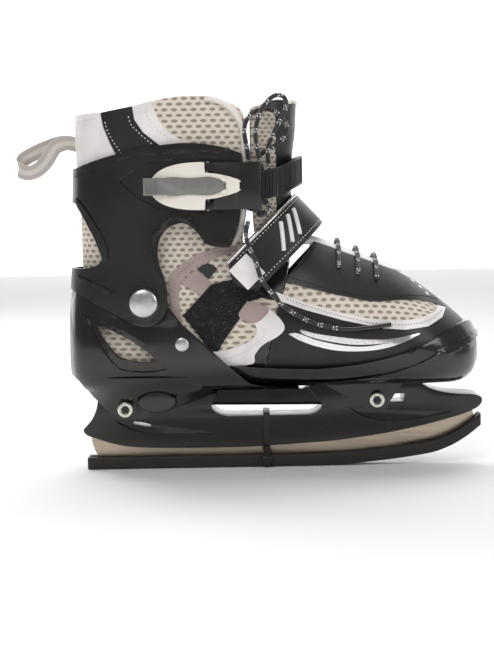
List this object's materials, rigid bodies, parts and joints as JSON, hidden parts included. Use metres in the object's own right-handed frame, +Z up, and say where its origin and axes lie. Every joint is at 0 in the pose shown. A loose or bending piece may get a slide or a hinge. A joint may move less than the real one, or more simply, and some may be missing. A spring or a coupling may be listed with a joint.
{
  "type": "adjustable ice skate",
  "caption": "Right-foot ice skate: soft boot in a hard shell with hinged cuff, ratchet buckle, straps and laces, sliding toe, steel blade in a holder and a tied-on blade guard.",
  "frame": {"origin": "on the flat underside of the blade guard, below the middle of the skate", "axes": "+X to the toe, +Y to the inner side of the foot, +Z up"},
  "size_m": [0.3205, 0.1117, 0.2558],
  "materials": {
    "steel": "satin ground steel",
    "zinc": "zinc-plated, bright",
    "satin": "satin nickel",
    "cuff_plastic": "matte black",
    "shell_plastic": "glossy black",
    "holder_plastic": "semi-gloss black",
    "guard_plastic": "matte black",
    "ivory_plastic": "ivory, semi-gloss",
    "grey_plastic": "metallic grey",
    "mesh": "cream spacer mesh",
    "leather": "black synthetic leather",
    "white_leather": "white synthetic leather",
    "hook_tape": "black hook-and-loop",
    "lace": "braided black with white flecks",
    "foam": "dark grey foam and lining"
  },
  "bodies": {
    "chassis": {"blade": "steel", "blade_holder": "holder_plastic", "blade_guard": "guard_plastic", "cable_tie": "guard_plastic", "heel_shell": "shell_plastic", "rear_bolt": "zinc", "rear_nut": "zinc", "small_rivet_lateral": "satin", "small_rivet_medial": "satin", "quarter": "mesh", "hook_tape": "hook_tape", "insole": "foam", "toe_gusset_lateral": "foam", "toe_gusset_medial": "foam", "instep_strap_root": "leather"},
    "toe": {"toe_shell": "shell_plastic", "vamp": "leather", "tongue_lower": "leather", "front_bolt": "zinc", "front_nut": "zinc", "size_rack": "grey_plastic", "lace_row_1": "lace", "lace_row_2": "lace", "lace_row_3": "lace"},
    "cuff_body": {"cuff": "cuff_plastic", "pivot_rivet_lateral": "satin", "pivot_rivet_medial": "satin", "collar": "mesh", "tongue_upper": "leather", "heel_loop": "white_leather", "buckle_housing": "cuff_plastic", "pawl_pin": "zinc", "ladder_strap_root": "cuff_plastic", "ladder_rivet": "satin", "lace_knot": "lace", "lace_bow_rear": "lace", "lace_bow_front": "lace", "lace_tail_lateral": "lace"},
    "button": {"size_button": "shell_plastic", "latch_hook": "satin", "button_spring": "zinc"},
    "lever": {"buckle_lever": "ivory_plastic", "lever_pin": "zinc", "tab_pin": "zinc"},
    "tab": {"release_tab": "grey_plastic"},
    "pawl": {"ratchet_pawl": "satin"},
    "ladder": {"ladder_strap": "cuff_plastic"},
    "strap": {"instep_strap": "leather", "strap_badge": "white_leather"}
  },
  "joints": [
    {"name": "toe_slide", "type": "slide", "parent": "chassis", "child": "toe", "axis": [1, 0, 0], "range_m": [0, 0.02], "deforming": ["lace_bow_rear", "lace_bow_front", "lace_tail_lateral"]},
    {"name": "cuff_flex", "type": "hinge", "parent": "chassis", "child": "cuff_body", "pos_m": [-0.093, 0, 0.1188], "axis": [0, 1, 0], "range_deg": [0, 10], "stiffness_Nm_per_rad": 20, "deforming": ["lace_bow_rear", "lace_bow_front", "lace_tail_lateral", "lace_knot", "instep_strap", "strap_badge"]},
    {"name": "button_press", "type": "slide", "parent": "chassis", "child": "button", "axis": [0, 1, 0], "range_m": [0, 0.003], "stiffness_N_per_m": 900, "deforming": ["button_spring"]},
    {"name": "lever_open", "type": "hinge", "parent": "cuff_body", "child": "lever", "pos_m": [-0.03, -0.0574, 0.1952], "axis": [0, 0, 1], "range_deg": [0, 75]},
    {"name": "tab_lift", "type": "hinge", "parent": "lever", "child": "tab", "pos_m": [-0.038, -0.0609, 0.1952], "axis": [0, 0, 1], "range_deg": [0, 8], "stiffness_Nm_per_rad": 0.05},
    {"name": "pawl_lift", "type": "hinge", "parent": "cuff_body", "child": "pawl", "pos_m": [-0.0486, -0.0498, 0.1952], "axis": [0, 0, 1], "range_deg": [0, 8], "stiffness_Nm_per_rad": 0.05},
    {"name": "ladder_swing", "type": "hinge", "parent": "cuff_body", "child": "ladder", "pos_m": [-0.0335, 0.0462, 0.2], "axis": [0, 0, 1], "range_deg": [0, 60], "deforming": ["lace_bow_rear", "lace_bow_front", "lace_tail_lateral"]},
    {"name": "strap_peel", "type": "hinge", "parent": "chassis", "child": "strap", "pos_m": [-0.0318, 0.0468, 0.1311], "axis": [-0.6919, 0, 0.7219], "range_deg": [0, 60], "deforming": ["lace_bow_rear", "lace_bow_front", "lace_tail_lateral"]}
  ]
}
